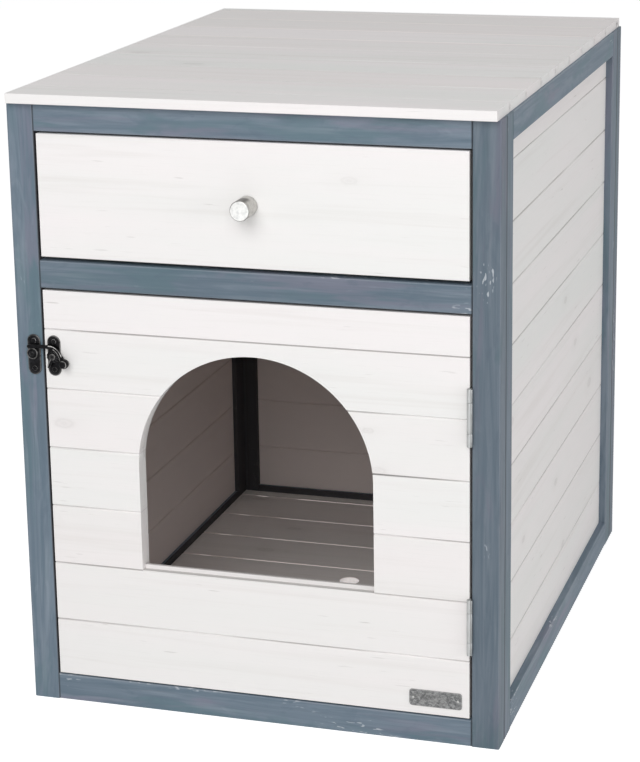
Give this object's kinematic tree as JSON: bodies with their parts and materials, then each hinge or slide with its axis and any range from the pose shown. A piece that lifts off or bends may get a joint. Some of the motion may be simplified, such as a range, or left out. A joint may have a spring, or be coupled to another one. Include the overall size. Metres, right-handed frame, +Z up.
{
  "type": "litter box enclosure",
  "caption": "Wooden litter box cabinet: stained frames with whitewashed board walls, a top drawer on runners, and a hinged door with an arched doorway and a swing latch.",
  "frame": {"origin": "middle of the whole object's box, on the floor", "axes": "X to the right, Y from the door towards the back, Z up"},
  "size_m": [0.48, 0.645, 0.6175],
  "materials": {
    "frame_wood": "thin blue-grey stain over softwood, matt",
    "white_boards": "whitewashed softwood boards, matt, with faint grain and knots",
    "inner_wood": "thinly whitewashed softwood",
    "dowel_wood": "bare beech",
    "knob_steel": "satin nickel",
    "hinge_steel": "zinc plate",
    "screw_steel": "zinc plate",
    "black_metal": "black antique, worn bright on edges",
    "plate_metal": "aged pewter plate, bare"
  },
  "bodies": {
    "cabinet": {"back_boards": "white_boards", "back_bottom_rail": "frame_wood", "back_left_stile": "frame_wood", "back_right_stile": "frame_wood", "back_top_rail": "frame_wood", "board_screws": "screw_steel", "door_stop": "frame_wood", "drawer_stops": "inner_wood", "floor_battens": "inner_wood", "floor_boards": "white_boards", "frame_dowels": "dowel_wood", "front_bottom_rail": "frame_wood", "front_left_stile": "frame_wood", "front_mid_rail": "frame_wood", "front_right_stile": "frame_wood", "front_top_rail": "frame_wood", "hinge_frame_leaves": "hinge_steel", "hinge_frame_screws": "hinge_steel", "hinge_pins": "hinge_steel", "latch_strike_plate": "black_metal", "left_drawer_runner": "inner_wood", "left_side_boards": "white_boards", "left_side_bottom_rail": "frame_wood", "left_side_front_stile": "frame_wood", "left_side_rear_stile": "frame_wood", "left_side_top_rail": "frame_wood", "right_drawer_runner": "inner_wood", "right_side_boards": "white_boards", "right_side_bottom_rail": "frame_wood", "right_side_front_stile": "frame_wood", "right_side_rear_stile": "frame_wood", "right_side_top_rail": "frame_wood", "runner_screws": "screw_steel", "strike_screws": "black_metal", "top_battens": "inner_wood", "top_boards": "white_boards"},
    "drawer": {"drawer_front": "white_boards", "drawer_left_side": "inner_wood", "drawer_right_side": "inner_wood", "drawer_back": "inner_wood", "drawer_bottom": "inner_wood", "drawer_dowels": "dowel_wood", "drawer_screws": "screw_steel", "drawer_knob": "knob_steel", "knob_screw": "screw_steel"},
    "door": {"door_lower_boards": "white_boards", "door_left_boards": "white_boards", "door_right_boards": "white_boards", "door_arch_boards": "white_boards", "door_top_board": "white_boards", "door_battens": "inner_wood", "door_batten_screws": "screw_steel", "hinge_door_leaves": "hinge_steel", "hinge_door_screws": "hinge_steel", "latch_plate": "black_metal", "latch_plate_screws": "black_metal", "latch_rivet": "black_metal", "blank_plate": "plate_metal", "plate_pins": "plate_metal"},
    "latch_arm": {"latch_arm": "black_metal"}
  },
  "joints": [
    {"name": "drawer_slide", "type": "slide", "parent": "cabinet", "child": "drawer", "axis": [0, -1, 0], "range_m": [0, 0.36]},
    {"name": "door_hinge", "type": "hinge", "parent": "cabinet", "child": "door", "pos_m": [0.212, -0.3007, 0.2265], "axis": [0, 0, 1], "range_deg": [0, 170]},
    {"name": "latch_pivot", "type": "hinge", "parent": "door", "child": "latch_arm", "pos_m": [-0.2016, -0.3016, 0.361], "axis": [0, 1, 0], "range_deg": [0, 90]}
  ]
}
